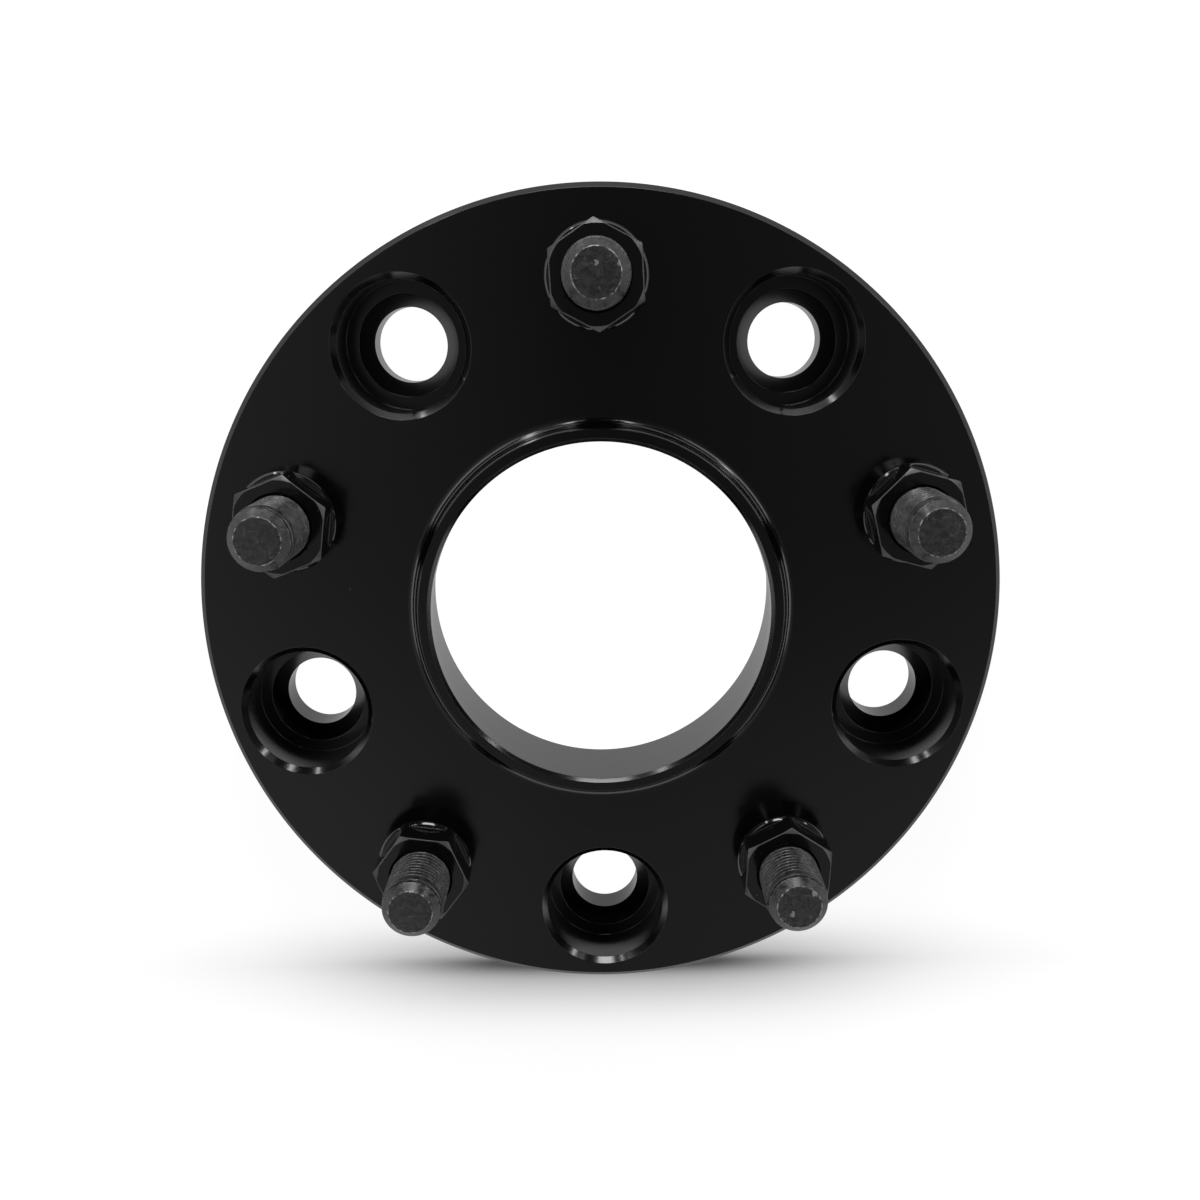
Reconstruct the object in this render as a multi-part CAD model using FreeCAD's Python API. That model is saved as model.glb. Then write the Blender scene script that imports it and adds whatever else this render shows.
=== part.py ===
import FreeCAD, Part
import math
import os

V = FreeCAD.Vector
UP = V(0, 0, 1)
os.makedirs("parts", exist_ok=True)

# Spacer body, turned and drilled from one aluminium disc. Z = 0 is the face that
# bolts to the vehicle's hub, and the studs point up from the opposite face.
DISC_D = 160.0
DISC_T = 25.4
RIM_BEVEL = 0.95
BOLT_CIRCLE_D = 127.0
LUGS = 5

# Centre: a raised pilot lip for the wheel on the front, and a bore that opens out
# towards the back to take the vehicle's hub.
LIP_D = 73.0
LIP_H = 4.0
LIP_FILLET_R = 2.2
LIP_OUTER_CHAMFER = 0.3
LIP_INNER_CHAMFER = 0.7
LIP_BORE_D = 67.5
HUB_BORE_D = 71.5
HUB_BORE_DEPTH = 22.8
HUB_MOUTH_CHAMFER = 0.8

# Bolt holes, between the studs: deep counterbore, conical nut seat, through hole.
MOUTH_CHAMFER = 1.15
COUNTERBORE_D = 24.6
COUNTERBORE_DEPTH = 13.0
SEAT_D = 19.6
SEAT_ANGLE = 60.0
BOLT_HOLE_D = 14.5
EXIT_CHAMFER = 0.5

# Wheel studs, M12 x 1.5, pressed in from the back with the head in a recess.
STUD_D = 12.0
STUD_OUT = 31.0
STUD_HEAD_D = 17.4
STUD_HEAD_T = 3.6
STUD_HEAD_SUNK = 0.8
STUD_HEAD_CHAMFER = 0.5
HEAD_RECESS_D = 18.4
KNURL_D = 13.2
KNURL_L = 11.0
KNURL_LEAD = 0.6
PILOT_D = 11.3
PILOT_FACE_D = 8.5
PILOT_BEVEL_L = 1.6
PILOT_RING_L = 1.1
GROOVE_D = 10.2
GROOVE_L = 0.9
THREAD_LEAD_L = 0.6

# Lug nuts, run down the studs until the conical seat stands on the front face.
HEX_SIDES = 6
NUT_HEX = 17.0
NUT_H = 13.6
NUT_COLLAR_D = 19.3
NUT_COLLAR_H = 1.3
NUT_COLLAR_CHAMFER = 0.45
NUT_CONE_TIP_D = 13.4
NUT_CROWN_ANGLE = 30.0
NUT_CROWN_D = 17.4
NUT_BORE_D = 12.1
NUT_MOUTH_D = 12.9

STUD_BEARINGS = [90.0 + 360.0 * i / LUGS for i in range(LUGS)]
HOLE_BEARINGS = [bearing + 180.0 / LUGS for bearing in STUD_BEARINGS]
# One corner of each parked nut points this way, seen from the front.
NUT_CORNER_BEARINGS = [32.6, 21.0, 52.5, 27.0, 44.5]


def turned(profile):
    """Solid of revolution about Z from a closed outline of (radius, height) points."""
    points = [V(r, 0, z) for r, z in profile]
    outline = Part.makePolygon(points + [points[0]])
    return Part.Face(outline).revolve(V(0, 0, 0), UP, 360)


def on_bolt_circle(shape, bearing):
    """A copy of the shape, moved from the axis to the bolt circle."""
    angle = math.radians(bearing)
    placed = shape.copy()
    radius = BOLT_CIRCLE_D / 2
    placed.translate(V(radius * math.cos(angle), radius * math.sin(angle), 0))
    return placed


def disc_blank():
    """Disc with bevelled rim and pilot lip, with the fillet at the lip's foot as an arc."""
    disc_r, lip_r = DISC_D / 2, LIP_D / 2
    lip_top = DISC_T + LIP_H
    bore_r, hub_r = LIP_BORE_D / 2, HUB_BORE_D / 2
    shoulder = hub_r - bore_r
    fillet_top = V(lip_r, 0, DISC_T + LIP_FILLET_R)
    fillet_foot = V(lip_r + LIP_FILLET_R, 0, DISC_T)
    lean = LIP_FILLET_R * (1 - math.sqrt(0.5))
    fillet_mid = V(lip_r + lean, 0, DISC_T + lean)
    inner = [
        (lip_r, DISC_T + LIP_FILLET_R),
        (lip_r, lip_top - LIP_OUTER_CHAMFER),
        (lip_r - LIP_OUTER_CHAMFER, lip_top),
        (bore_r + LIP_INNER_CHAMFER, lip_top),
        (bore_r, lip_top - LIP_INNER_CHAMFER),
        (bore_r, HUB_BORE_DEPTH + shoulder),
        (hub_r, HUB_BORE_DEPTH),
        (hub_r, HUB_MOUTH_CHAMFER),
        (hub_r + HUB_MOUTH_CHAMFER, 0),
        (disc_r - RIM_BEVEL, 0),
        (disc_r, RIM_BEVEL),
        (disc_r, DISC_T - RIM_BEVEL),
        (disc_r - RIM_BEVEL, DISC_T),
        (lip_r + LIP_FILLET_R, DISC_T),
    ]
    points = [V(r, 0, z) for r, z in inner]
    edges = [Part.makeLine(a, b) for a, b in zip(points, points[1:])]
    edges.append(Part.Arc(fillet_foot, fillet_mid, fillet_top).toShape())
    return Part.Face(Part.Wire(edges)).revolve(V(0, 0, 0), UP, 360)


def bolt_hole_cutter():
    """The stepped hole for one of the vehicle's own studs and its conical nut."""
    wide_r, seat_r, hole_r = COUNTERBORE_D / 2, SEAT_D / 2, BOLT_HOLE_D / 2
    floor_z = DISC_T - COUNTERBORE_DEPTH
    seat_h = (seat_r - hole_r) / math.tan(math.radians(SEAT_ANGLE / 2))
    return turned([
        (0, -1),
        (hole_r + EXIT_CHAMFER + 1, -1),
        (hole_r, EXIT_CHAMFER),
        (hole_r, floor_z - seat_h),
        (seat_r, floor_z),
        (wide_r, floor_z),
        (wide_r, DISC_T - MOUTH_CHAMFER),
        (wide_r + MOUTH_CHAMFER + 1, DISC_T + 1),
        (0, DISC_T + 1),
    ])


def stud_hole_cutter():
    """Press-fit hole through the disc, with a round recess at the back for the stud's head."""
    recess_depth = STUD_HEAD_SUNK + STUD_HEAD_T
    return turned([
        (0, -1),
        (HEAD_RECESS_D / 2, -1),
        (HEAD_RECESS_D / 2, recess_depth),
        (KNURL_D / 2, recess_depth),
        (KNURL_D / 2, DISC_T + 1),
        (0, DISC_T + 1),
    ])


def spacer_body():
    """The disc with every bolt hole and stud hole cut."""
    cutters = [on_bolt_circle(bolt_hole_cutter(), bearing) for bearing in HOLE_BEARINGS]
    cutters += [on_bolt_circle(stud_hole_cutter(), bearing) for bearing in STUD_BEARINGS]
    return disc_blank().cut(cutters)


def wheel_stud():
    """Headed stud: round head, knurled shank, threaded length and a turned pilot tip."""
    head_r, knurl_r, shank_r = STUD_HEAD_D / 2, KNURL_D / 2, STUD_D / 2
    pilot_r, groove_r = PILOT_D / 2, GROOVE_D / 2
    head_top = STUD_HEAD_SUNK + STUD_HEAD_T
    tip = DISC_T + STUD_OUT
    ring_top = tip - PILOT_BEVEL_L
    ring_foot = ring_top - PILOT_RING_L
    groove_foot = ring_foot - GROOVE_L
    # The free length of the thread, above the nut, is a face of its own.
    free_foot = DISC_T + NUT_H + 1
    return turned([
        (0, tip),
        (PILOT_FACE_D / 2, tip),
        (pilot_r, ring_top),
        (pilot_r, ring_foot),
        (groove_r, ring_foot),
        (groove_r, groove_foot),
        (shank_r, groove_foot - THREAD_LEAD_L),
        (shank_r, free_foot),
        (shank_r, head_top + KNURL_L),
        (knurl_r, head_top + KNURL_L - KNURL_LEAD),
        (knurl_r, head_top),
        (head_r, head_top),
        (head_r, STUD_HEAD_SUNK + STUD_HEAD_CHAMFER),
        (head_r - STUD_HEAD_CHAMFER, STUD_HEAD_SUNK),
        (0, STUD_HEAD_SUNK),
    ])


def lug_nut(corner_bearing):
    """Hexagon nut with a crowned front, a round collar and a conical seat below it."""
    collar_r, cone_r = NUT_COLLAR_D / 2, NUT_CONE_TIP_D / 2
    base = DISC_T
    cone_h = (collar_r - cone_r) / math.tan(math.radians(SEAT_ANGLE / 2))
    collar_top = base + cone_h + NUT_COLLAR_H
    top = base + NUT_H
    corner_r = NUT_HEX / math.sqrt(3)
    corners = []
    for i in range(HEX_SIDES):
        angle = math.radians(corner_bearing + 360 * i / HEX_SIDES)
        corners.append(V(corner_r * math.cos(angle), corner_r * math.sin(angle), base + cone_h))
    hexagon = Part.Face(Part.makePolygon(corners + [corners[0]]))
    prism = hexagon.extrude(V(0, 0, top - base - cone_h))
    crown_drop = (corner_r + 1 - NUT_CROWN_D / 2) * math.tan(math.radians(NUT_CROWN_ANGLE))
    crown = turned([
        (0, base),
        (corner_r + 1, base),
        (corner_r + 1, top - crown_drop),
        (NUT_CROWN_D / 2, top),
        (0, top),
    ])
    seat = turned([
        (0, base),
        (cone_r, base),
        (collar_r, base + cone_h),
        (collar_r, collar_top - NUT_COLLAR_CHAMFER),
        (collar_r - NUT_COLLAR_CHAMFER, collar_top),
        (0, collar_top),
    ])
    bore_r, mouth_r = NUT_BORE_D / 2, NUT_MOUTH_D / 2
    lead = mouth_r - bore_r
    bore = turned([
        (0, base - 1),
        (bore_r, base - 1),
        (bore_r, top - lead),
        (mouth_r + 1, top + 1),
        (0, top + 1),
    ])
    return prism.common(crown).fuse(seat).cut(bore).removeSplitter()


pieces = {"spacer_body": spacer_body()}
for number, bearing in enumerate(STUD_BEARINGS, start=1):
    pieces[f"wheel_stud_{number}"] = on_bolt_circle(wheel_stud(), bearing)
    corner = NUT_CORNER_BEARINGS[number - 1]
    pieces[f"lug_nut_{number}"] = on_bolt_circle(lug_nut(corner), bearing)

for name, shape in pieces.items():
    solid = shape.Solids[0]
    print(name, len(shape.Solids), shape.isValid(), round(solid.Volume / 1000, 3), "cm3")
    solid.exportStep(f"parts/{name}.step")
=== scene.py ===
import math

import bmesh
import bpy
import numpy as np
from mathutils import Matrix, Vector


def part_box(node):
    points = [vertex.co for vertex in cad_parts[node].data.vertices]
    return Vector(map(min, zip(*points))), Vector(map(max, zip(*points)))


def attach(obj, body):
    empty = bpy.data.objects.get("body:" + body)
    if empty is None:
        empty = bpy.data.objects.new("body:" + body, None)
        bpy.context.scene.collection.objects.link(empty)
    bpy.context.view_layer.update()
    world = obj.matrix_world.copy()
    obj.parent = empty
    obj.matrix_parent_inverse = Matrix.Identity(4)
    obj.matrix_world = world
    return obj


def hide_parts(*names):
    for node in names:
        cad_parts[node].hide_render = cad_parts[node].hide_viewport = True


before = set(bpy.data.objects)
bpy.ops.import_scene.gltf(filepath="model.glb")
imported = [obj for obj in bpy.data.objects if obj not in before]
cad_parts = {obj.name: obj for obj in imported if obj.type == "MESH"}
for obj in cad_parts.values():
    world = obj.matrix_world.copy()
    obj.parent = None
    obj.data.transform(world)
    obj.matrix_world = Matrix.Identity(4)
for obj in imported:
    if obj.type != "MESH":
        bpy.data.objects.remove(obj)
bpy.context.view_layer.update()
MM = 0.001


# Spacer body: one disc turned from aluminium bar, bored, drilled and counterbored, with a
# raised pilot lip for the wheel. Every edge is broken by a hair, and the whole is anodised
# black, so its satin gloss lies over fine marks of the lathe tool.
DISC_RADIUS, DISC_THICKNESS, RIM_BEVEL = 80.0 * MM, 25.4 * MM, 0.95 * MM
BOLT_CIRCLE_RADIUS = 63.5 * MM
LIP_RADIUS, LIP_HEIGHT, LIP_FILLET = 36.5 * MM, 4.0 * MM, 2.2 * MM
LIP_OUTER_EDGE, LIP_INNER_EDGE = 0.3 * MM, 0.7 * MM
FRONT_BORE, HUB_BORE, HUB_BORE_DEPTH, HUB_EDGE = 33.75 * MM, 35.75 * MM, 22.8 * MM, 0.8 * MM
COUNTERBORE, COUNTERBORE_DEPTH, MOUTH_EDGE = 12.3 * MM, 13.0 * MM, 1.15 * MM
SEAT_RADIUS, THROUGH_HOLE, EXIT_EDGE = 9.8 * MM, 7.25 * MM, 0.5 * MM
PRESS_HOLE, HEAD_RECESS, RECESS_DEPTH = 6.6 * MM, 9.2 * MM, 4.4 * MM
SEAT_HALF_ANGLE = math.radians(30)
BROKEN_EDGE = 0.12 * MM
FACE_INNER, FACE_OUTER = 42.0 * MM, 78.0 * MM
OUTER_STEPS, INNER_STEPS, SIDE_STEPS, FILLET_STEPS, EDGE_STEPS = 48, 32, 28, 8, 3
ALL_HOLES, TENTH = 10, math.pi / 5
FIRST_STUD_BEARING = math.pi / 2
LEAST_HALF_ANGLE, SHORT_SIDE_SHARE, NO_LENGTH, NO_TURN = 0.02, 0.45, 1e-12, 1e-9
WELD, FLAT_FACE_WEIGHT = 0.5e-6, 60
ANODISED_BLACK = (0.0013, 0.0013, 0.0015, 1.0)
LINT_GREY = (0.10, 0.10, 0.10, 1.0)
SATIN, SATIN_CLOUDS, SATIN_RINGS = 0.11, 0.05, 0.04
# Marks to a millimetre: rings left by the tool, clouds in the dye and grain of the oxide.
TOOL_RINGS, DYE_CLOUDS, OXIDE_GRAIN = 3.0, 0.05, 8.0
OXIDE_RELIEF = 0.003 * MM


def section(corners, columns):
    """Outline of (radius, height) corners as (rows, columns, 2). A radius may be one number or
    one for each column."""
    ones = np.ones(columns)
    rows = [np.stack([radius * ones, height * ones], axis=-1) for radius, height in corners]
    return np.stack(rows)


def rounded(outline, radius):
    """Turns each inner corner of an outline into an arc that touches both its sides. A point is
    centre + (a * sin(sweep * (1 - s)) + b * sin(sweep * s)) / sin(sweep), with s from 0 to 1 and
    a and b from the centre to the arc's ends. A short side makes the arc smaller."""
    corner = outline[1:-1]
    back, on = outline[:-2] - corner, outline[2:] - corner
    back_length = np.linalg.norm(back, axis=-1, keepdims=True)
    on_length = np.linalg.norm(on, axis=-1, keepdims=True)
    back, on = back / np.maximum(back_length, NO_LENGTH), on / np.maximum(on_length, NO_LENGTH)
    half = np.arccos(np.clip((back * on).sum(-1, keepdims=True), -1, 1)) / 2
    half = np.clip(half, LEAST_HALF_ANGLE, math.pi / 2 - LEAST_HALF_ANGLE)
    longest = SHORT_SIDE_SHARE * np.minimum(back_length, on_length)
    reach = np.minimum(radius / np.tan(half), longest)
    inward = back + on
    inward = inward / np.maximum(np.linalg.norm(inward, axis=-1, keepdims=True), NO_TURN)
    centre = corner + inward * reach / np.cos(half)
    first, last = corner + back * reach - centre, corner + on * reach - centre
    sweep = math.pi - 2 * half
    arcs = [centre + (first * np.sin(sweep * (1 - s)) + last * np.sin(sweep * s)) / np.sin(sweep)
            for s in np.linspace(0, 1, EDGE_STEPS + 1)]
    arc = np.stack(arcs, axis=1).reshape(-1, *outline.shape[1:])
    return np.concatenate([outline[:1], arc, outline[-1:]])


def turned_surface(outline, angles, axis=(0.0, 0.0), looped=False):
    """Points axis + radius * (cos angle, sin angle) at each height of an outline, and the quads
    between them. Each row closes into a ring, and a looped outline also closes on itself."""
    radii, heights = outline[..., 0], outline[..., 1]
    x = axis[0] + radii * np.cos(angles)
    y = axis[1] + radii * np.sin(angles)
    points = np.stack([x, y, heights], axis=-1).reshape(-1, 3)
    index = np.arange(len(points)).reshape(radii.shape)
    above = np.roll(index, -1, axis=0) if looped else index[1:]
    below = index if looped else index[:-1]
    quads = np.stack([below, np.roll(below, -1, 1), np.roll(above, -1, 1), above], axis=-1)
    return points, quads.reshape(-1, 4)


def solid_piece(name, surfaces, axis=(0.0, 0.0)):
    """One welded object from (points, quads) surfaces. Its own_place attribute holds each
    point in millimetres from the foot of the piece's axis."""
    points = np.concatenate([surface[0] for surface in surfaces])
    firsts = np.cumsum([0] + [len(surface[0]) for surface in surfaces])
    quads = np.concatenate([surface[1] + first for surface, first in zip(surfaces, firsts)])
    mesh = bpy.data.meshes.new(name)
    mesh.from_pydata(points.tolist(), [], quads.tolist())
    welded = bmesh.new()
    welded.from_mesh(mesh)
    bmesh.ops.remove_doubles(welded, verts=welded.verts, dist=WELD)
    welded.to_mesh(mesh)
    welded.free()
    mesh.shade_smooth()
    places = np.empty(len(mesh.vertices) * 3)
    mesh.vertices.foreach_get("co", places)
    own = (places.reshape(-1, 3) - (axis[0], axis[1], 0.0)) / MM
    attribute = mesh.attributes.new("own_place", "FLOAT_VECTOR", "POINT")
    attribute.data.foreach_set("vector", own.ravel())
    piece = bpy.data.objects.new(name, mesh)
    bpy.context.scene.collection.objects.link(piece)
    piece.modifiers.new("flat faces", "WEIGHTED_NORMAL").weight = FLAT_FACE_WEIGHT
    return piece


def face_tenth():
    """Bearing and distance, from a hole's own axis, of points round the tenth of the face that
    the hole stands in: along the outer ring, a side, the inner ring and the other side."""
    half = TENTH / 2
    turn = [np.linspace(-half, half, OUTER_STEPS, endpoint=False), np.full(SIDE_STEPS, half),
            np.linspace(half, -half, INNER_STEPS, endpoint=False), np.full(SIDE_STEPS, -half)]
    inward = np.linspace(FACE_OUTER, FACE_INNER, SIDE_STEPS, endpoint=False)
    outward = np.linspace(FACE_INNER, FACE_OUTER, SIDE_STEPS, endpoint=False)
    radius = [np.full(OUTER_STEPS, FACE_OUTER), inward, np.full(INNER_STEPS, FACE_INNER), outward]
    turn, radius = np.concatenate(turn), np.concatenate(radius)
    across, along = radius * np.cos(turn) - BOLT_CIRCLE_RADIUS, radius * np.sin(turn)
    return np.arctan2(along, across), np.hypot(across, along)


def bolt_hole(reach):
    """Outline of a bolt hole from the face round its mouth to the face round its exit: bevelled
    mouth, counterbore, flat floor, conical nut seat and through hole."""
    floor = DISC_THICKNESS - COUNTERBORE_DEPTH
    seat_foot = floor - (SEAT_RADIUS - THROUGH_HOLE) / math.tan(SEAT_HALF_ANGLE)
    corners = [
        (reach, DISC_THICKNESS),
        (COUNTERBORE + MOUTH_EDGE, DISC_THICKNESS),
        (COUNTERBORE, DISC_THICKNESS - MOUTH_EDGE),
        (COUNTERBORE, floor),
        (SEAT_RADIUS, floor),
        (THROUGH_HOLE, seat_foot),
        (THROUGH_HOLE, EXIT_EDGE),
        (THROUGH_HOLE + EXIT_EDGE, 0.0),
        (reach, 0.0),
    ]
    return rounded(section(corners, len(reach)), BROKEN_EDGE)


def stud_hole(reach):
    """Outline of a press-fit stud hole, with the round recess for the stud's head behind it."""
    corners = [
        (reach, DISC_THICKNESS),
        (PRESS_HOLE, DISC_THICKNESS),
        (PRESS_HOLE, RECESS_DEPTH),
        (HEAD_RECESS, RECESS_DEPTH),
        (HEAD_RECESS, 0.0),
        (reach, 0.0),
    ]
    return rounded(section(corners, len(reach)), BROKEN_EDGE)


def lip_and_bore(columns):
    """Outline from the face over the fillet and the pilot lip, down the bore to the back."""
    sweep = np.linspace(0, math.pi / 2, FILLET_STEPS + 1)
    fillet = [(LIP_RADIUS + LIP_FILLET * (1 - math.sin(turn)),
               DISC_THICKNESS + LIP_FILLET * (1 - math.cos(turn))) for turn in sweep]
    top = DISC_THICKNESS + LIP_HEIGHT
    corners = [
        (LIP_RADIUS, DISC_THICKNESS + LIP_FILLET),
        (LIP_RADIUS, top - LIP_OUTER_EDGE),
        (LIP_RADIUS - LIP_OUTER_EDGE, top),
        (FRONT_BORE + LIP_INNER_EDGE, top),
        (FRONT_BORE, top - LIP_INNER_EDGE),
        (FRONT_BORE, HUB_BORE_DEPTH + HUB_BORE - FRONT_BORE),
        (HUB_BORE, HUB_BORE_DEPTH),
        (HUB_BORE, HUB_EDGE),
        (HUB_BORE + HUB_EDGE, 0.0),
        (FACE_INNER, 0.0),
    ]
    foot = section([(FACE_INNER, DISC_THICKNESS)] + fillet[:-1], columns)
    return np.concatenate([foot, rounded(section(corners, columns), BROKEN_EDGE)])


def rim(columns):
    """Outline from the back face round the bevelled rim to the front face."""
    corners = [
        (FACE_OUTER, 0.0),
        (DISC_RADIUS - RIM_BEVEL, 0.0),
        (DISC_RADIUS, RIM_BEVEL),
        (DISC_RADIUS, DISC_THICKNESS - RIM_BEVEL),
        (DISC_RADIUS - RIM_BEVEL, DISC_THICKNESS),
        (FACE_OUTER, DISC_THICKNESS),
    ]
    return rounded(section(corners, columns), BROKEN_EDGE)


def body_surfaces():
    """Ten patches of the two faces, each with its hole, and the two rings that close them."""
    bearing, reach = face_tenth()
    for number in range(ALL_HOLES):
        middle = FIRST_STUD_BEARING + number * TENTH
        axis = BOLT_CIRCLE_RADIUS * math.cos(middle), BOLT_CIRCLE_RADIUS * math.sin(middle)
        hole = bolt_hole(reach) if number % 2 else stud_hole(reach)
        yield turned_surface(hole, bearing + middle, axis)
    for outline, steps in ((lip_and_bore, INNER_STEPS), (rim, OUTER_STEPS)):
        columns = ALL_HOLES * steps
        angles = FIRST_STUD_BEARING - TENTH / 2 + np.arange(columns) * TENTH / steps
        yield turned_surface(outline(columns), angles)


class Wire:
    """A shader socket. Arithmetic on it adds Math nodes, and node() adds any other node."""

    def __init__(self, tree, socket=None):
        self.tree, self.socket = tree, socket

    def node(self, kind, settings, inputs, output=0):
        """A node of this kind, with its settings and the values or wires of its sockets."""
        made = self.tree.nodes.new(kind)
        for name, value in settings.items():
            setattr(made, name, value)
        for name, value in inputs.items():
            if isinstance(value, Wire):
                self.tree.links.new(value.socket, made.inputs[name])
            else:
                made.inputs[name].default_value = value
        return Wire(self.tree, made.outputs[output]) if len(made.outputs) else None

    def maths(self, operation, *values):
        """A Math node of that operation on this number and the other values."""
        inputs = dict(enumerate((self, *values)))
        return self.node("ShaderNodeMath", {"operation": operation}, inputs)

    def __add__(self, other):
        return self.maths("ADD", other)

    def __sub__(self, other):
        return self.maths("SUBTRACT", other)

    def __rsub__(self, other):
        return self.maths("MULTIPLY", -1.0) + other

    def __mul__(self, other):
        return self.maths("MULTIPLY", other)

    def __pow__(self, other):
        return self.maths("POWER", other)

    __radd__, __rmul__ = __add__, __mul__

    def rise(self, low, high):
        """Smooth step: 0 up to low, 1 from high on."""
        ends = {"Value": self, "From Min": low, "From Max": high}
        return self.node("ShaderNodeMapRange", {"interpolation_type": "SMOOTHSTEP"}, ends)

    def near(self, value, width):
        """1 at a value, and down to 0 that width away on either side."""
        return 1.0 - (self - value).maths("ABSOLUTE").rise(0.0, width)

    def axes(self):
        """The three numbers of a vector."""
        parts = {"Vector": self}
        return [self.node("ShaderNodeSeparateXYZ", {}, parts, letter) for letter in "XYZ"]

    def times(self, x, y, z):
        """A vector multiplied axis by axis."""
        inputs = {0: self, 1: (x, y, z)}
        return self.node("ShaderNodeVectorMath", {"operation": "MULTIPLY"}, inputs)

    def noise(self, scale, detail=2.0, roughness=0.5):
        """Cloudy noise about 0.5, with that many lumps to a millimetre."""
        inputs = {"Vector": self, "Scale": scale, "Detail": detail, "Roughness": roughness}
        return self.node("ShaderNodeTexNoise", {}, inputs, "Fac")

    def specks(self, share, cells, size):
        """Small ragged spots: 1 inside one, in this share of the cells of a lumpy grid, with that
        many cells to a millimetre and the spot's size as a part of its cell."""
        inputs = {"Vector": self, "Scale": cells, "Randomness": 1.0}
        away = self.node("ShaderNodeTexVoronoi", {}, inputs, "Distance")
        cell = self.node("ShaderNodeTexVoronoi", {}, inputs, "Color").axes()[0]
        return cell.maths("LESS_THAN", share) * away.maths("LESS_THAN", size * self.noise(2.0))

    def blend(self, low, high):
        """A colour between two, this number of the way from the first to the second."""
        return self.node("ShaderNodeMix", {"data_type": "RGBA"}, {0: self, 6: low, 7: high}, 2)

    def bump(self, distance):
        """A normal tilted by this height, where 1 is worth that many metres."""
        return self.node("ShaderNodeBump", {}, {"Height": self, "Distance": distance}, "Normal")

    def finish(self, kind="ShaderNodeOutputMaterial"):
        """Ends the tree in this surface."""
        self.node(kind, {}, {"Surface": self})


def new_material(name):
    """An empty material, and a wire for the place on the object in millimetres."""
    material = bpy.data.materials.new(name)
    material.use_nodes = True
    material.node_tree.nodes.clear()
    start = Wire(material.node_tree)
    place = start.node("ShaderNodeTexCoord", {}, {}, "Object").times(1 / MM, 1 / MM, 1 / MM)
    return material, place


def anodised_finish():
    """Satin black dye in a thin clear oxide, over rings left by the tool."""
    material, place = new_material("black_anodised")
    x, y, z = place.axes()
    radius = (x * x + y * y) ** 0.5
    inputs = {"W": (radius + z) * TOOL_RINGS, "Scale": 1.0, "Detail": 4.0}
    rings = place.node("ShaderNodeTexNoise", {"noise_dimensions": "1D"}, inputs, "Fac")
    lint = place.specks(share=0.03, cells=0.32, size=0.06)
    clouds = place.noise(DYE_CLOUDS, detail=3.0)
    place.node("ShaderNodeBsdfPrincipled", {}, {
        "Base Color": lint.blend(ANODISED_BLACK, LINT_GREY),
        "Roughness": SATIN + SATIN_CLOUDS * clouds + SATIN_RINGS * rings,
        "Normal": (rings * 0.5 + place.noise(OXIDE_GRAIN) * 0.5).bump(OXIDE_RELIEF),
    }, "BSDF").finish()
    return material


body = solid_piece("disc", list(body_surfaces()))
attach(body, "root")
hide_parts("spacer_body")
body.data.materials.append(anodised_finish())


# Wheel studs: headed steel pins with a rolled M12 x 1.5 thread, pressed in from the back,
# in dark phosphate. Their turned pilot tips stick out furthest, so the dark skin is rubbed
# off their edges and the end faces are dented and scratched.
STUDS = [f"wheel_stud_{number}" for number in range(1, 6)]
STUD_COLUMNS = 96
HEAD_RADIUS, HEAD_THICKNESS, HEAD_EDGE = 8.7 * MM, 3.6 * MM, 0.5 * MM
KNURL_RADIUS, KNURL_LENGTH, KNURL_LEAD = 6.6 * MM, 11.0 * MM, 0.6 * MM
SHANK_RADIUS, GROOVE_RADIUS, GROOVE_LENGTH = 6.0 * MM, 5.1 * MM, 0.9 * MM
PILOT_RADIUS, PILOT_FACE, PILOT_BEVEL, PILOT_RING = 5.65 * MM, 4.25 * MM, 1.6 * MM, 1.1 * MM
PITCH, THREAD_LEAD, THREAD_FROM = 1.5 * MM, 0.6 * MM, 36.0 * MM
THREAD_DEPTH = 0.613 * PITCH
ROOT_SHARE, FLANK_SHARE = 0.25, 0.625
ROWS_TO_A_PITCH = 14
STUD_ROUNDING, FACE_RING = 0.15 * MM, 0.4
PHOSPHATE_DARK, PHOSPHATE_LIGHT = (0.005, 0.005, 0.0052, 1.0), (0.030, 0.030, 0.031, 1.0)
RUBBED_STEEL = (0.36, 0.36, 0.365, 1.0)
PHOSPHATE_SHEEN, MOTTLED_SHEEN, PHOSPHATE_RELIEF = 0.24, 0.14, 0.08 * MM
GRAIN_HEIGHT, MOTTLE_HEIGHT, SCRATCH_DEPTH = 0.10, 0.12, 0.12
# Places of the rubbed marks, and of the painted shade in the thread's roots below the
# groove, in millimetres from the stud's axis and below its end face.
FACE_EDGE, RING_EDGE, CREST = 4.25, 5.62, 5.98
BEVEL_FOOT, RING_FOOT, GROOVE_TOP, GROOVE_FOOT = 1.65, 2.62, 3.4, 3.6
PAINTED_SHADE_FULL_RADIUS, PAINTED_SHADE_GONE_RADIUS = 5.25, 5.95
# How strongly each kind of mark is rubbed down to steel, how much of its tone the thread
# keeps in its roots under painted shade, and how much the end face is painted lighter as
# painted light.
RING_RUB, CREST_RUB, SCRATCH_RUB, DENT_RUB, STEEL_SHOWN = 0.8, 0.5, 0.2, 0.7, 0.7
ROOT_TONE_UNDER_PAINTED_SHADE, END_FACE_PAINTED_LIGHT = 0.25, 0.45


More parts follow.
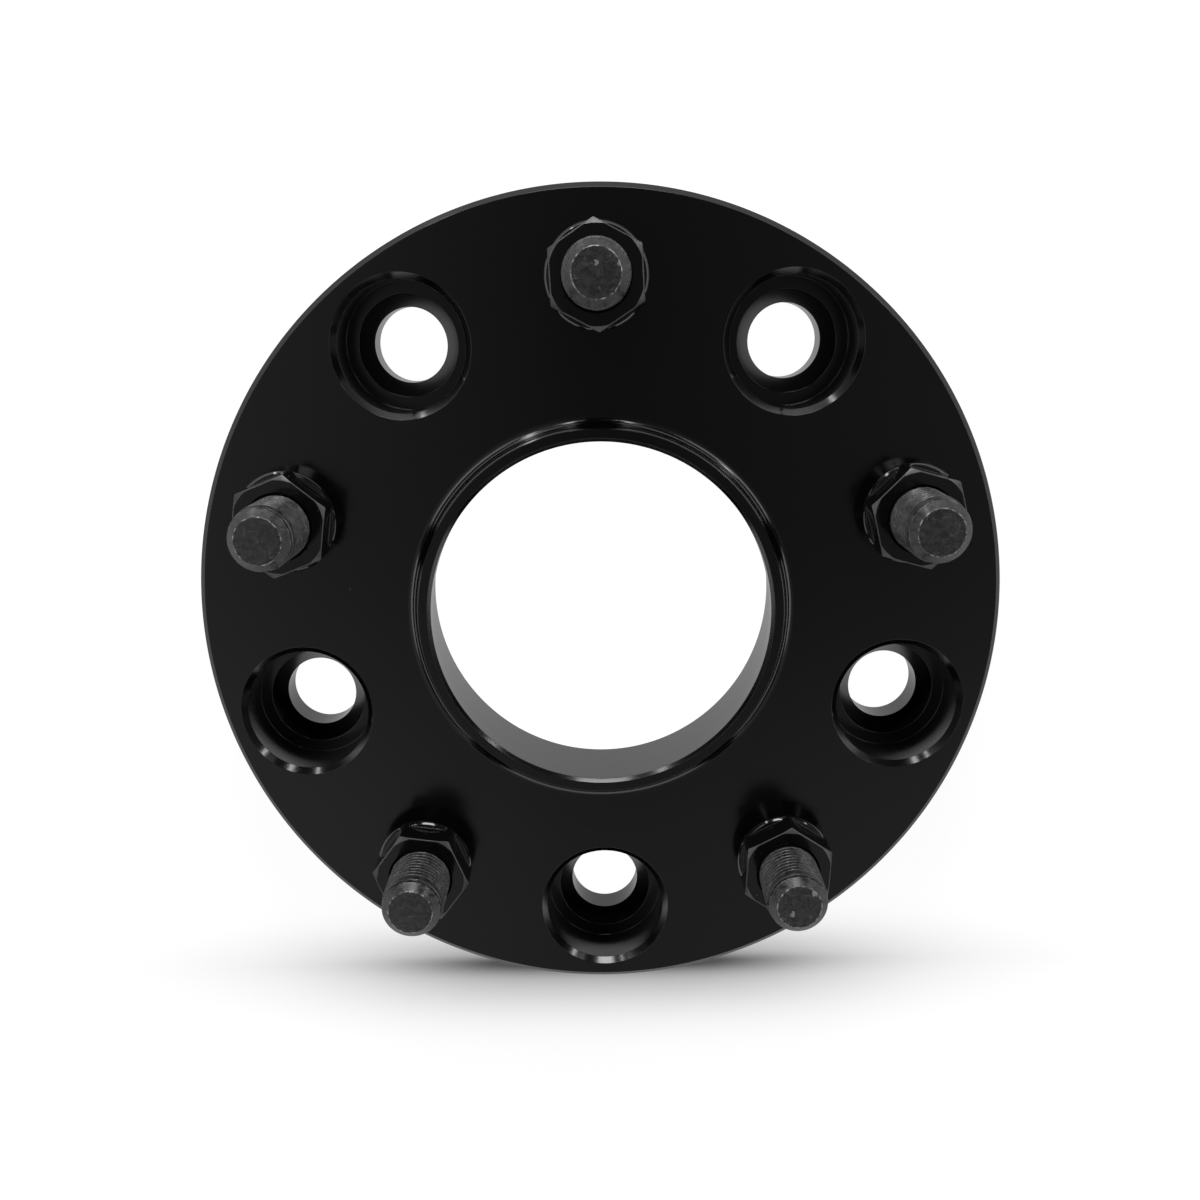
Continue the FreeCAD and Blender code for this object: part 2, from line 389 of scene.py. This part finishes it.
def stud_outline(low, high, angles):
    """Outline of a stud from its head up. The thread's depth follows the phase
    height / pitch - angle / turn: a flat root, straight flanks and a flat crest."""
    head_top = low + HEAD_THICKNESS
    ring_top = high - PILOT_BEVEL
    ring_foot = ring_top - PILOT_RING
    groove_foot = ring_foot - GROOVE_LENGTH
    lower = [
        (0.0, low),
        (HEAD_RADIUS - HEAD_EDGE, low),
        (HEAD_RADIUS, low + HEAD_EDGE),
        (HEAD_RADIUS, head_top),
        (KNURL_RADIUS, head_top),
        (KNURL_RADIUS, head_top + KNURL_LENGTH - KNURL_LEAD),
        (SHANK_RADIUS, head_top + KNURL_LENGTH),
        (SHANK_RADIUS, THREAD_FROM),
    ]
    upper = [
        (GROOVE_RADIUS, groove_foot),
        (GROOVE_RADIUS, ring_foot),
        (PILOT_RADIUS, ring_foot),
        (PILOT_RADIUS, ring_top),
        (PILOT_FACE, high),
        (PILOT_FACE * FACE_RING, high),
        (0.0, high),
    ]
    rows = int((groove_foot - THREAD_FROM) / PITCH * ROWS_TO_A_PITCH)
    height = np.linspace(THREAD_FROM, groove_foot, rows)[1:-1, None]
    phase = (height / PITCH - angles / (2 * math.pi)) % 1.0
    crest = np.clip((np.abs(2 * phase - 1) - ROOT_SHARE) / FLANK_SHARE, 0, 1)
    start = np.clip((height - THREAD_FROM) / PITCH, 0, 1)
    lead = np.clip((groove_foot - height) / THREAD_LEAD, 0, 1)
    thread = SHANK_RADIUS - THREAD_DEPTH * (1 - crest) * start
    thread = np.minimum(thread, GROOVE_RADIUS + (SHANK_RADIUS - GROOVE_RADIUS) * lead)
    columns = len(angles)
    middle = np.stack([thread, height * np.ones(columns)], axis=-1)
    lower = rounded(section(lower, columns), STUD_ROUNDING)
    upper = rounded(section(upper, columns), STUD_ROUNDING)
    return np.concatenate([lower, middle, upper])


def axis_of(node):
    """Middle of a round node, seen from above."""
    low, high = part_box(node)
    return (low.x + high.x) / 2, (low.y + high.y) / 2


def own_axes(start):
    """Place from the foot of the piece's own axis, in millimetres, as three wires."""
    return start.node("ShaderNodeAttribute", {"attribute_name": "own_place"}, {}, "Vector").axes()


def phosphate_finish(tip_height):
    """Dark matt phosphate, mottled, rubbed down to steel in patches on the tip's edges and on
    some thread crests, with dents and scratches on the end face. The thread's roots are painted
    darker as painted shade, and the end face lighter as painted light."""
    material, place = new_material("dark_phosphate")

    def patches(lumps, low, high):
        """Ragged patches of noise, with that many lumps to a millimetre."""
        return place.noise(lumps, detail=4.0, roughness=0.65).rise(low, high)

    x, y, z = own_axes(place)
    radius, depth = (x * x + y * y) ** 0.5, tip_height / MM - z
    on_face = 1.0 - depth.rise(0.03, 0.12)
    face_edge = radius.near(FACE_EDGE, 0.22) * (1.0 - depth.rise(0.15, 0.40))
    face_edge = face_edge * patches(1.1, 0.42, 0.66)
    ring_edge = depth.near(BEVEL_FOOT, 0.22) + depth.near(RING_FOOT, 0.16)
    ring_edge = radius.near(RING_EDGE, 0.12) * ring_edge * patches(0.9, 0.42, 0.64)
    crests = radius.near(CREST, 0.08) * patches(0.7, 0.46, 0.66)
    scratches = place.times(0.5, 3.0, 1.0).noise(1.0).rise(0.66, 0.69)
    scratches = scratches + place.times(2.6, 0.6, 1.0).noise(1.0).rise(0.67, 0.70)
    scratches = scratches * on_face
    dents = place.specks(share=0.10, cells=0.50, size=0.60) * on_face
    rubbed = face_edge + RING_RUB * ring_edge + CREST_RUB * crests
    rubbed = (rubbed + SCRATCH_RUB * scratches + DENT_RUB * dents).rise(0.0, 1.0)
    mottle = place.noise(0.9, detail=5.0, roughness=0.66).rise(0.36, 0.66)
    # Painted shade: below the groove the thread is painted darker in its roots than on its crests.
    above_thread = depth.rise(GROOVE_TOP, GROOVE_FOOT).maths("LESS_THAN", 0.5)
    free_of_painted_shade = (radius.rise(PAINTED_SHADE_FULL_RADIUS, PAINTED_SHADE_GONE_RADIUS) + above_thread).maths("MINIMUM", 1.0)
    mottle_and_painted_light = mottle * (ROOT_TONE_UNDER_PAINTED_SHADE + (1.0 - ROOT_TONE_UNDER_PAINTED_SHADE) * free_of_painted_shade)
    # Painted light: the end face, the top of the stud, is painted lighter.
    mottle_and_painted_light = mottle_and_painted_light + END_FACE_PAINTED_LIGHT * on_face * (1.0 - mottle)
    relief = GRAIN_HEIGHT * place.noise(5.0, detail=3.0) + MOTTLE_HEIGHT * mottle
    relief = relief - dents - SCRATCH_DEPTH * scratches
    place.node("ShaderNodeBsdfPrincipled", {}, {
        "Base Color": rubbed.blend(mottle_and_painted_light.blend(PHOSPHATE_DARK, PHOSPHATE_LIGHT), RUBBED_STEEL),
        "Metallic": STEEL_SHOWN * rubbed,
        "Roughness": PHOSPHATE_SHEEN + MOTTLED_SHEEN * mottle,
        "Normal": relief.bump(PHOSPHATE_RELIEF),
    }, "BSDF").finish()
    return material


stud_angles = np.arange(STUD_COLUMNS) * 2 * math.pi / STUD_COLUMNS
stud_low, stud_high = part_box(STUDS[0])
stud_steel = phosphate_finish(stud_high.z)
for number, node in enumerate(STUDS, start=1):
    outline = stud_outline(stud_low.z, stud_high.z, stud_angles)
    axis = axis_of(node)
    stud = solid_piece(f"stud_{number}", [turned_surface(outline, stud_angles, axis)], axis)
    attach(stud, "root")
    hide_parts(node)
    stud.data.materials.append(stud_steel)


# Lug nuts: 17 mm hexagons of steel with a crowned front, a round collar and a conical seat,
# in gloss black. They are run down the studs until the seat stands on the disc's face.
NUTS = [f"lug_nut_{number}" for number in range(1, 6)]
ACROSS_FLATS = 17.0 * MM
NUT_CORNER_RADIUS = 0.35 * MM
COLLAR_RADIUS, COLLAR_HEIGHT, COLLAR_EDGE = 9.65 * MM, 1.3 * MM, 0.45 * MM
SEAT_TIP_RADIUS = 6.7 * MM
CROWN_RADIUS, CROWN_SLOPE = 8.7 * MM, math.tan(math.radians(30))
NUT_BORE, NUT_MOUTH = 6.05 * MM, 6.45 * MM
HEXAGON_SIDES, FLAT_COLUMNS, CORNER_COLUMNS = 6, 18, 6
CROWN_LEAST_WIDTH, NUT_ROUNDING = 0.24 * MM, 0.11 * MM
FRONT_PART = 0.7
GLOSS_BLACK, DUST_GREY = (0.0025, 0.0025, 0.0028, 1.0), (0.09, 0.09, 0.09, 1.0)
CROWN_PAINTED_HIGHLIGHT = (0.035, 0.035, 0.036, 1.0)
GLOSS, GLOSS_CLOUDS, DUSTY, DULL_CROWN = 0.07, 0.06, 0.3, 0.24
PLATING_RELIEF = 0.012 * MM


def hexagon(corner_bearing):
    """Angles round a hexagon and its radius there: half the width / cos(angle from a flat's
    middle) along the flats, and a small circle about each rounded corner's own centre."""
    half_width = ACROSS_FLATS / 2
    corner_centre = (half_width - NUT_CORNER_RADIUS) / math.cos(math.pi / 6)
    flat_ends = math.atan((half_width - NUT_CORNER_RADIUS) * math.tan(math.pi / 6) / half_width)
    along = np.linspace(-flat_ends, flat_ends, FLAT_COLUMNS)
    across = np.linspace(flat_ends, math.pi / 3 - flat_ends, CORNER_COLUMNS + 2)[1:-1]
    lean = across - math.pi / 6
    corner_radius = corner_centre * np.cos(lean)
    corner_radius += np.sqrt(NUT_CORNER_RADIUS ** 2 - (corner_centre * np.sin(lean)) ** 2)
    side = np.concatenate([along, across])
    turns = np.arange(HEXAGON_SIDES)[:, None] * math.pi / 3 + corner_bearing + math.pi / 6
    radius = np.concatenate([half_width / np.cos(along), corner_radius])
    return (turns + side).ravel(), np.tile(radius, HEXAGON_SIDES)


def nut_outline(low, high, hexagon_radius):
    """Outline of a nut, once round its section: bore, seat, collar, hexagon side, crown and front
    face. The crown reaches in to its circle from the corners, and is a thin bevel on the flats."""
    collar_foot = low + (COLLAR_RADIUS - SEAT_TIP_RADIUS) / math.tan(SEAT_HALF_ANGLE)
    collar_top = collar_foot + COLLAR_HEIGHT
    collar_rim = np.clip(hexagon_radius, COLLAR_RADIUS - COLLAR_EDGE, COLLAR_RADIUS)
    crown_width = np.maximum(hexagon_radius - CROWN_RADIUS, CROWN_LEAST_WIDTH)
    middle = (low + high) / 2
    corners = [
        (NUT_BORE, middle),
        (NUT_BORE, low),
        (SEAT_TIP_RADIUS, low),
        (np.maximum(COLLAR_RADIUS, hexagon_radius), collar_foot),
        (np.maximum(COLLAR_RADIUS, hexagon_radius), collar_top - COLLAR_EDGE),
        (collar_rim, collar_top),
        (hexagon_radius, collar_top),
        (hexagon_radius, high - crown_width * CROWN_SLOPE),
        (hexagon_radius - crown_width, high),
        (NUT_MOUTH, high),
        (NUT_BORE, high - (NUT_MOUTH - NUT_BORE)),
        (NUT_BORE, middle),
    ]
    return rounded(section(corners, len(hexagon_radius)), NUT_ROUNDING)[:-1]


def corner_bearing(node):
    """Direction of one corner of a nut: that of the point of its front part that is furthest
    from its axis."""
    places = np.array([vertex.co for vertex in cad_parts[node].data.vertices])
    heights = places[:, 2]
    front = heights > heights.min() * (1 - FRONT_PART) + heights.max() * FRONT_PART
    out = places[front][:, :2] - axis_of(node)
    furthest = out[np.argmax((out ** 2).sum(1))]
    return math.atan2(furthest[1], furthest[0])


def gloss_finish(front_height):
    """Smooth gloss black, a little uneven, with a few specks of dust. The crown, a thin bevel on
    the flats and a cone on the corners, is rougher and painted lighter grey, a painted highlight
    along the hexagon's edges."""
    material, place = new_material("gloss_black")
    dust = place.specks(share=0.07, cells=0.55, size=0.16)
    x, y, z = own_axes(place)
    radius, depth = (x * x + y * y) ** 0.5, front_height / MM - z
    # Painted highlight: the crown's bevel and cone are painted lighter grey, a light line round
    # the hexagon.
    bevel = (1.0 - depth.rise(0.16, 0.30)) * radius.rise(7.6, 8.0)
    cone = (radius - depth * (1 / CROWN_SLOPE)).near(CROWN_RADIUS / MM, 0.16)
    crown = depth.rise(0.01, 0.05) * bevel.maths("MAXIMUM", cone)
    clouds = place.noise(0.5, detail=4.0)
    place.node("ShaderNodeBsdfPrincipled", {}, {
        "Base Color": dust.blend(crown.blend(GLOSS_BLACK, CROWN_PAINTED_HIGHLIGHT), DUST_GREY),
        "Roughness": GLOSS + GLOSS_CLOUDS * clouds + DUSTY * dust + DULL_CROWN * crown,
        "Normal": (place.noise(0.8, detail=3.0) + dust).bump(PLATING_RELIEF),
    }, "BSDF").finish()
    return material


nut_low, nut_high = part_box(NUTS[0])
nut_black = gloss_finish(nut_high.z)
for number, node in enumerate(NUTS, start=1):
    angles, hexagon_radius = hexagon(corner_bearing(node))
    outline = nut_outline(nut_low.z, nut_high.z, hexagon_radius)
    axis = axis_of(node)
    nut = solid_piece(f"nut_{number}", [turned_surface(outline, angles, axis, looped=True)], axis)
    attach(nut, "root")
    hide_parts(node)
    nut.data.materials.append(nut_black)


# Floor: a plain white table under the disc. It glows for the camera and in reflections, so it
# is as white as the photograph's. Along the near edge of the disc its glow is lowered in a
# painted shadow, laid under the real shadow, which the table also shows.
FLOOR_HALF, FLOOR_DROP = 3.0, 0.02 * MM
HIDDEN_RADIUS = 76.0
FLOOR_WHITE = (0.25, 0.25, 0.25, 1.0)
GLOW_IN_HOLES, GLOW_OUTSIDE, GLOW_MIRRORED = 1.0, 0.88, 0.52
# Place, spread, half width and depth, in mm, of the wide and the thin painted shadow in the
# floor's glow.
SHADOW_PLACE, SHADOW_SPREAD, SHADOW_HALF_WIDTH, SHADOW_DEPTH = 87.5, 12.0, 58.0, 0.58
CORE_PLACE, CORE_SPREAD, CORE_HALF_WIDTH, CORE_DEPTH = 88.3, 2.9, 42.0, 0.38
STEEPER_INSIDE = 1.6


def floor_finish():
    """White floor whose glow falls near the disc's near edge, a painted shadow, with x and y in
    mm, by depth * exp(-((y + place) / spread)^2) / (1 + (x / half width)^4) for a wide and a thin
    band, with a smaller spread on the disc's side. The step between the glow in the holes and
    outside is hidden under the disc."""
    material, place = new_material("white_floor")
    x, y, z = place.axes()

    def shadow(depth, middle, spread, half_width):
        """How much a painted shadow of this depth takes from the glow."""
        away, across = (y + middle) * (1 / spread), x * (1 / half_width)
        away = away.maths("MAXIMUM", away * STEEPER_INSIDE)
        fall = (away * away * -1.0).maths("EXPONENT")
        return depth * fall * ((across * across) ** 2.0 + 1.0) ** -1.0

    # Painted shadow: two soft bands of lowered glow along the disc's near edge.
    wide = shadow(SHADOW_DEPTH, SHADOW_PLACE, SHADOW_SPREAD, SHADOW_HALF_WIDTH)
    thin = shadow(CORE_DEPTH, CORE_PLACE, CORE_SPREAD, CORE_HALF_WIDTH)
    outside = (x * x + y * y).maths("GREATER_THAN", HIDDEN_RADIUS ** 2)
    glow = (GLOW_OUTSIDE - wide - thin).maths("MAXIMUM", 0.0)
    glow = outside * glow + GLOW_IN_HOLES * (1.0 - outside)
    seen = place.node("ShaderNodeLightPath", {}, {}, "Is Camera Ray")
    mirrored = place.node("ShaderNodeLightPath", {}, {}, "Is Glossy Ray")
    strength = glow * seen + GLOW_MIRRORED * mirrored
    light = place.node("ShaderNodeEmission", {}, {"Strength": strength}, "Emission")
    matt = place.node("ShaderNodeBsdfDiffuse", {}, {"Color": FLOOR_WHITE}, "BSDF")
    place.node("ShaderNodeAddShader", {}, {0: light, 1: matt}, "Shader").finish()
    return material


def stage_sheet(name, points, quads, material):
    """A sheet of the studio round the object, which is no part of it."""
    mesh = bpy.data.meshes.new(name)
    mesh.from_pydata(points, [], quads)
    mesh.materials.append(material)
    sheet = bpy.data.objects.new(name, mesh)
    bpy.context.scene.collection.objects.link(sheet)
    return sheet


def level_square(half, height):
    """Corners of a level square about the middle, at that height."""
    return [(x * half, y * half, height) for x, y in ((-1, -1), (1, -1), (1, 1), (-1, 1))]


stage_sheet("floor", level_square(FLOOR_HALF, -FLOOR_DROP), [(0, 1, 2, 3)], floor_finish())


# Light: three bright narrow soft boxes behind the disc, dimmer wide ones at its sides and in
# front, and above them a faint white ceiling. It is darkest straight overhead, so the flat
# face stays black. A low white screen stands all round at the horizon.
SOFTBOX_DISTANCE = 0.6
# Bearing clockwise from behind, elevation, width, height and brightness. The front one shows
# in reflections only.
SOFTBOXES = {
    "behind": (0, 26, 0.22, 0.16, 13.0),
    "behind_left": (-25, 14, 0.03, 0.30, 14.0),
    "behind_right": (49, 22, 0.04, 0.12, 14.0),
    "left": (-72, 37, 0.84, 0.17, 2.3),
    "right": (72, 37, 0.84, 0.17, 2.4),
    "front": (180, 31, 0.80, 0.22, 1.5),
}
CEILING_HALF, CEILING_HEIGHT = 0.6, 0.5
# Overhead, towards the viewer, per metre sideways, per metre to the left, and at most.
OVERHEAD_GLOW, NEAR_GLOW, SIDE_GLOW, LEFT_GLOW, MOST_GLOW = 0.08, 0.18, 0.85, 0.35, 0.45
SCREEN_RADIUS, SCREEN_HEIGHT, SCREEN_COLUMNS, SCREEN_GLOW = 0.9, 0.13, 64, 1.8
AIM = Vector((0.0, 0.0, 25.0 * MM))
for name, (bearing, elevation, width, height, brightness) in SOFTBOXES.items():
    turn, rise = math.radians(bearing), math.radians(elevation)
    flat = math.cos(rise)
    direction = Vector((math.sin(turn) * flat, math.cos(turn) * flat, math.sin(rise)))
    lamp = bpy.data.lights.new(name, "AREA")
    lamp.shape = "RECTANGLE"
    lamp.size, lamp.size_y = width, height
    lamp.energy = brightness * math.pi * width * height
    holder = bpy.data.objects.new(name, lamp)
    holder.location = AIM + direction * SOFTBOX_DISTANCE
    holder.rotation_euler = (-direction).to_track_quat("-Z", "Y").to_euler()
    holder.visible_camera = False
    holder.visible_diffuse = name != "front"
    bpy.context.scene.collection.objects.link(holder)


def glow_finish(name, strength_at):
    """Plain white glow, whose strength comes from x and y in metres."""
    material, place = new_material(name)
    x, y, z = place.times(MM, MM, MM).axes()
    strength = {"Strength": strength_at(x, y)}
    place.node("ShaderNodeEmission", {}, strength, "Emission").finish()
    return material


def ceiling_glow(x, y):
    """Overhead + near * smooth step of -y + side * |x| - left * x, held under the most."""
    near = NEAR_GLOW * (y * -1.0).rise(0.05, 0.25)
    glow = OVERHEAD_GLOW + near + SIDE_GLOW * x.maths("ABSOLUTE") - LEFT_GLOW * x
    return glow.maths("MINIMUM", MOST_GLOW)


ceiling = stage_sheet("ceiling", level_square(CEILING_HALF, CEILING_HEIGHT), [(0, 1, 2, 3)],
                      glow_finish("ceiling", ceiling_glow))
ceiling.visible_camera = ceiling.visible_shadow = False
screen_angles = np.arange(SCREEN_COLUMNS) * 2 * math.pi / SCREEN_COLUMNS
screen_outline = section([(SCREEN_RADIUS, 0.0), (SCREEN_RADIUS, SCREEN_HEIGHT)], SCREEN_COLUMNS)
points, quads = turned_surface(screen_outline, screen_angles)
screen = stage_sheet("screen", points.tolist(), quads.tolist(),
                     glow_finish("screen", lambda x, y: SCREEN_GLOW))
screen.visible_camera = screen.visible_shadow = False

AMBIENT, WHITE = 0.072, (1.0, 1.0, 1.0, 1.0)
world = bpy.data.worlds.new("studio")
world.use_nodes = True
bpy.context.scene.world = world
world.node_tree.nodes.clear()
sky = Wire(world.node_tree)
seen = sky.node("ShaderNodeLightPath", {}, {}, "Is Camera Ray")
shown = {"Color": WHITE, "Strength": AMBIENT + (1.0 - AMBIENT) * seen}
sky.node("ShaderNodeBackground", {}, shown).finish("ShaderNodeOutputWorld")


# Camera: above the disc and a little up the picture from its axis, looking down and
# towards the viewer's side, as the photograph was taken. Its frame is shifted to match.
PICTURE, SENSOR, NEAREST = 1200, 36.0, 0.01
FOCAL_PIXELS = 1464.2
CENTRE_PIXEL = (608.7, 800.0)
EYE = (0.4 * MM, 57.5 * MM, 315.6 * MM)
PITCH_DOWN, YAW, ROLL = 18.49, 0.13, 0.71
camera_data = bpy.data.cameras.new("camera")
camera_data.sensor_width = SENSOR
camera_data.lens = FOCAL_PIXELS / PICTURE * SENSOR
camera_data.shift_x = (PICTURE / 2 - CENTRE_PIXEL[0]) / PICTURE
camera_data.shift_y = (CENTRE_PIXEL[1] - PICTURE / 2) / PICTURE
camera_data.clip_start = NEAREST
camera = bpy.data.objects.new("camera", camera_data)
turn = Matrix.Rotation(-math.radians(YAW), 4, "Y")
turn = turn @ Matrix.Rotation(-math.radians(PITCH_DOWN), 4, "X")
turn = turn @ Matrix.Rotation(-math.radians(ROLL), 4, "Z")
camera.matrix_world = Matrix.Translation(EYE) @ turn
bpy.context.scene.collection.objects.link(camera)
bpy.context.scene.camera = camera
bpy.context.scene.view_settings.view_transform = "Standard"
